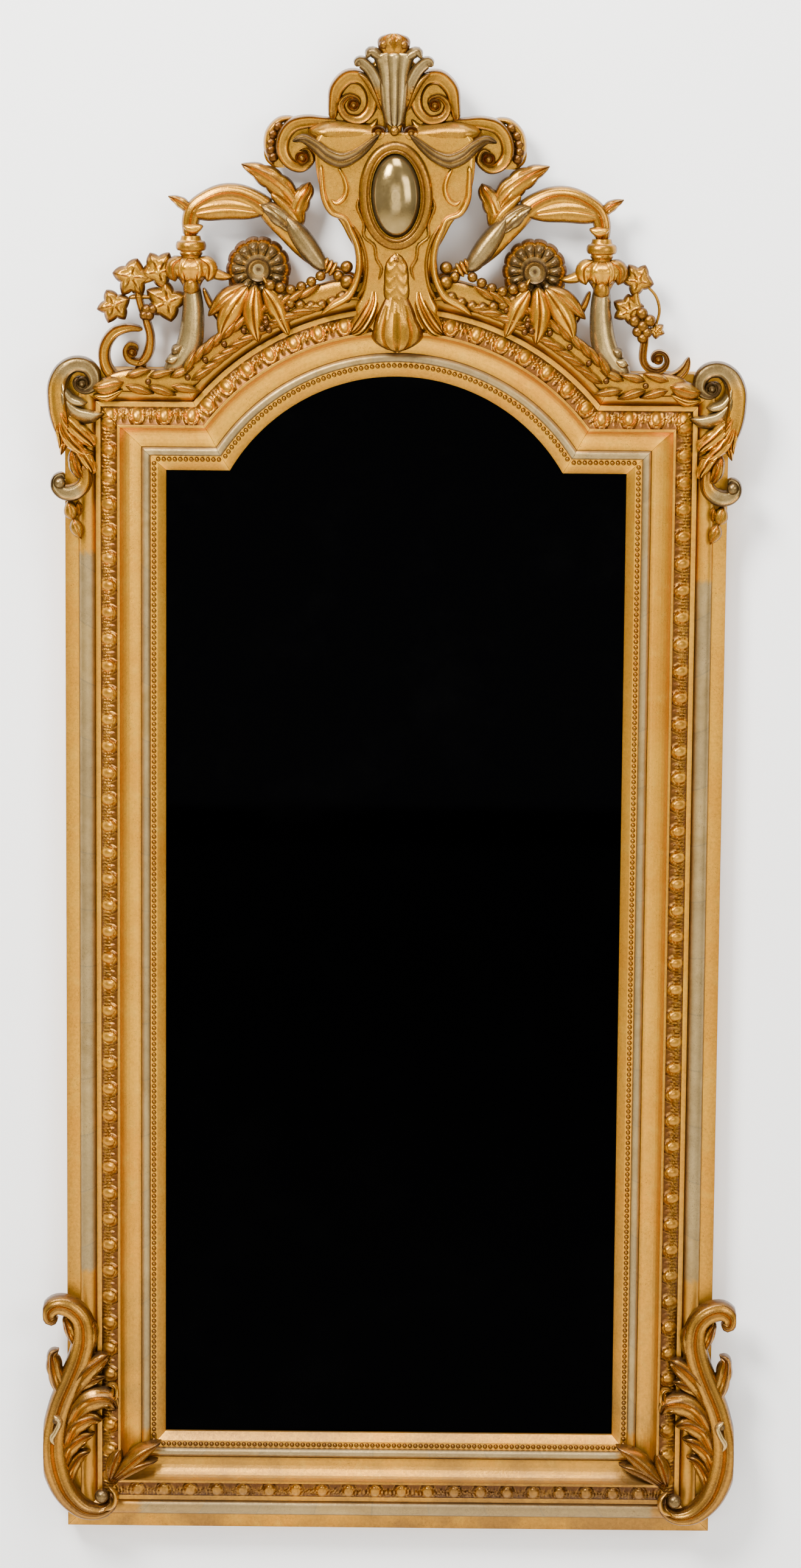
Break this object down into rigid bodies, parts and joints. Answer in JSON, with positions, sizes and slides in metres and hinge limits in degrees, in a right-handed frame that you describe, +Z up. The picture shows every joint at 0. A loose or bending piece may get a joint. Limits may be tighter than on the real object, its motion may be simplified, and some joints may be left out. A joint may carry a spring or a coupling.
{
  "type": "trumeau mirror",
  "caption": "Tall wall mirror in a giltwood frame with an arched head, silvered strips, egg-and-dart and pearl mouldings, corner scrolls and a carved openwork crest.",
  "frame": {"origin": "middle of the lower back edge, on the wall plane and at the foot of the frame", "axes": "+Z up, +X to the right seen from the front, the front faces -Y and the wall face +Y"},
  "size_m": [1.0108, 0.098, 2.182],
  "materials": {
    "gilded_carcass": "worn gold leaf over gesso on the front and edges, bare pine behind",
    "gilded_moulding": "satin gold leaf over gesso, dusty in the hollows",
    "gilded_carving": "burnished and matt gold leaf over gesso, chipped to white at the edges",
    "silvered_strip": "matt silver leaf over gesso, greyed, with lap lines",
    "silvered_carving": "polished silver leaf under a greenish varnish",
    "pine": "old bare pine",
    "mirror_glass": "old mirror plate, silvered at the back",
    "plate_iron": "forged iron, dark",
    "nail_iron": "cut nails, rusted"
  },
  "bodies": {
    "root": {"backboard_centre": "pine", "backboard_left": "pine", "backboard_nails": "nail_iron", "backboard_right": "pine", "bead_festoons": "gilded_carving", "branch_left": "gilded_carving", "branch_right": "gilded_carving", "cabochon": "silvered_carving", "calyxes": "gilded_carving", "carcass_base": "gilded_carcass", "carcass_head": "gilded_carcass", "carcass_stile_left": "gilded_carcass", "carcass_stile_right": "gilded_carcass", "carcass_tongues": "pine", "collars": "gilded_carving", "corner_scroll_lower_left": "gilded_carving", "corner_scroll_lower_right": "gilded_carving", "corner_scroll_upper_left": "gilded_carving", "corner_scroll_upper_right": "gilded_carving", "corner_sprays": "gilded_carving", "crest_brace": "pine", "crest_nails": "nail_iron", "crest_shield": "gilded_carving", "drapes": "silvered_carving", "ear_scroll_left": "gilded_carving", "ear_scroll_right": "gilded_carving", "egg_and_dart_bottom": "gilded_carving", "egg_and_dart_head": "gilded_carving", "egg_and_dart_left": "gilded_carving", "egg_and_dart_right": "gilded_carving", "garland_left": "gilded_carving", "garland_right": "gilded_carving", "glass_blocks": "pine", "hanger_nails": "nail_iron", "hanger_plates": "plate_iron", "horns": "silvered_carving", "inner_baguette_bottom": "silvered_strip", "inner_baguette_head": "silvered_strip", "inner_baguette_left": "silvered_strip", "inner_baguette_right": "silvered_strip", "mirror_plate": "mirror_glass", "moulding_arch": "gilded_moulding", "moulding_bottom": "gilded_moulding", "moulding_left": "gilded_moulding", "moulding_right": "gilded_moulding", "moulding_shoulder_left": "gilded_moulding", "moulding_shoulder_right": "gilded_moulding", "outer_baguette_bottom": "silvered_strip", "outer_baguette_head": "gilded_carving", "outer_baguette_left": "silvered_strip", "outer_baguette_right": "silvered_strip", "palmette": "gilded_carving", "pearl_strings": "gilded_carving", "rosette_left": "gilded_carving", "rosette_right": "gilded_carving", "vine_left": "gilded_carving", "vine_right": "gilded_carving", "volute_left": "gilded_carving", "volute_right": "gilded_carving"}
  },
  "joints": []
}
